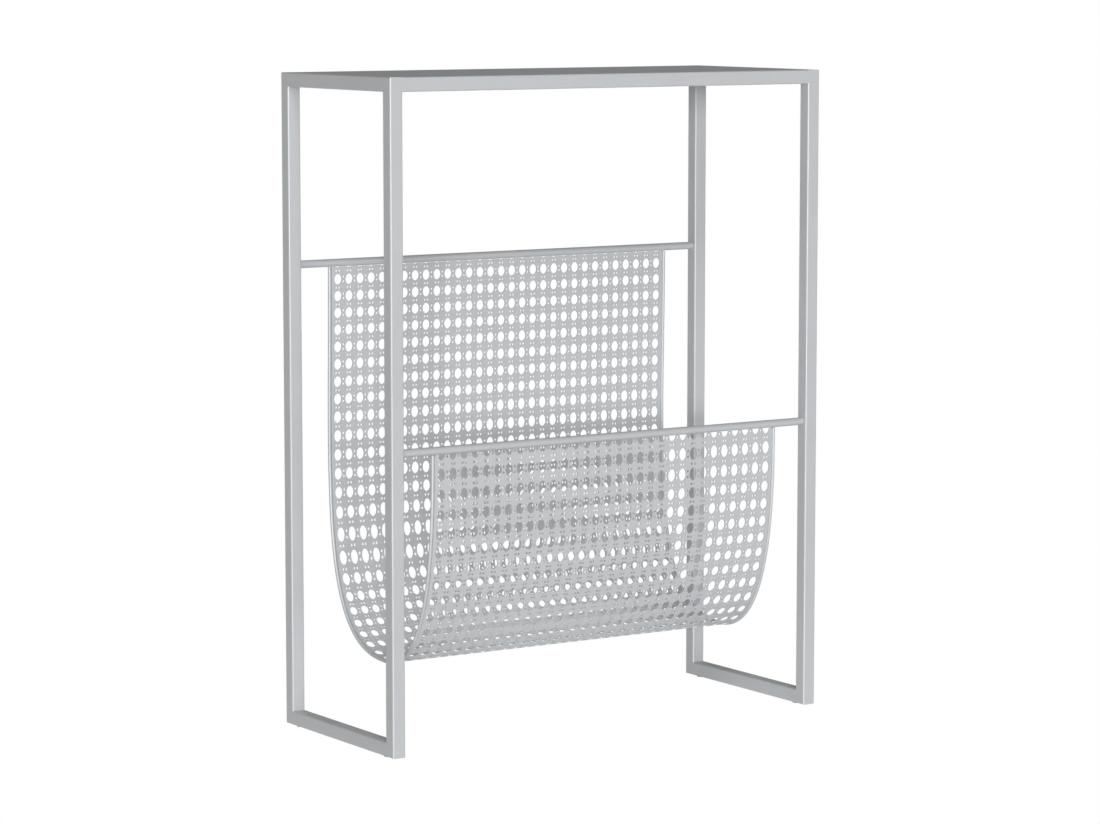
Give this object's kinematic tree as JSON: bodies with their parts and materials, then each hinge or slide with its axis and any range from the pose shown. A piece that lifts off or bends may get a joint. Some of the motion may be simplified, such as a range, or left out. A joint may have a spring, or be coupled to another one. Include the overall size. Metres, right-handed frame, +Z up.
{
  "type": "periodical display rack",
  "caption": "Free-standing periodical rack of welded square tube, with a flush table top and a perforated sheet sling hung in a deep U between cross rods.",
  "frame": {"origin": "on the floor, under the middle of the rack", "axes": "+Z up, -Y to the front where the low front rod is, +X to the right seen from the front"},
  "size_m": [0.457, 0.191, 0.591],
  "materials": {
    "satin_silver_coat": "satin silver-grey metallic powder coat on steel",
    "glide_nylon": "matt dark grey nylon"
  },
  "bodies": {
    "root": {"left_front_leg": "satin_silver_coat", "left_rear_leg": "satin_silver_coat", "left_top_rail": "satin_silver_coat", "left_foot_rail": "satin_silver_coat", "right_front_leg": "satin_silver_coat", "right_rear_leg": "satin_silver_coat", "right_top_rail": "satin_silver_coat", "right_foot_rail": "satin_silver_coat", "front_top_rail": "satin_silver_coat", "rear_top_rail": "satin_silver_coat", "top_panel": "satin_silver_coat", "rear_rod": "satin_silver_coat", "front_rod": "satin_silver_coat", "sling_sheet": "satin_silver_coat", "left_edge_wire": "satin_silver_coat", "right_edge_wire": "satin_silver_coat", "left_front_glide": "glide_nylon", "left_rear_glide": "glide_nylon", "right_front_glide": "glide_nylon", "right_rear_glide": "glide_nylon"}
  },
  "joints": []
}
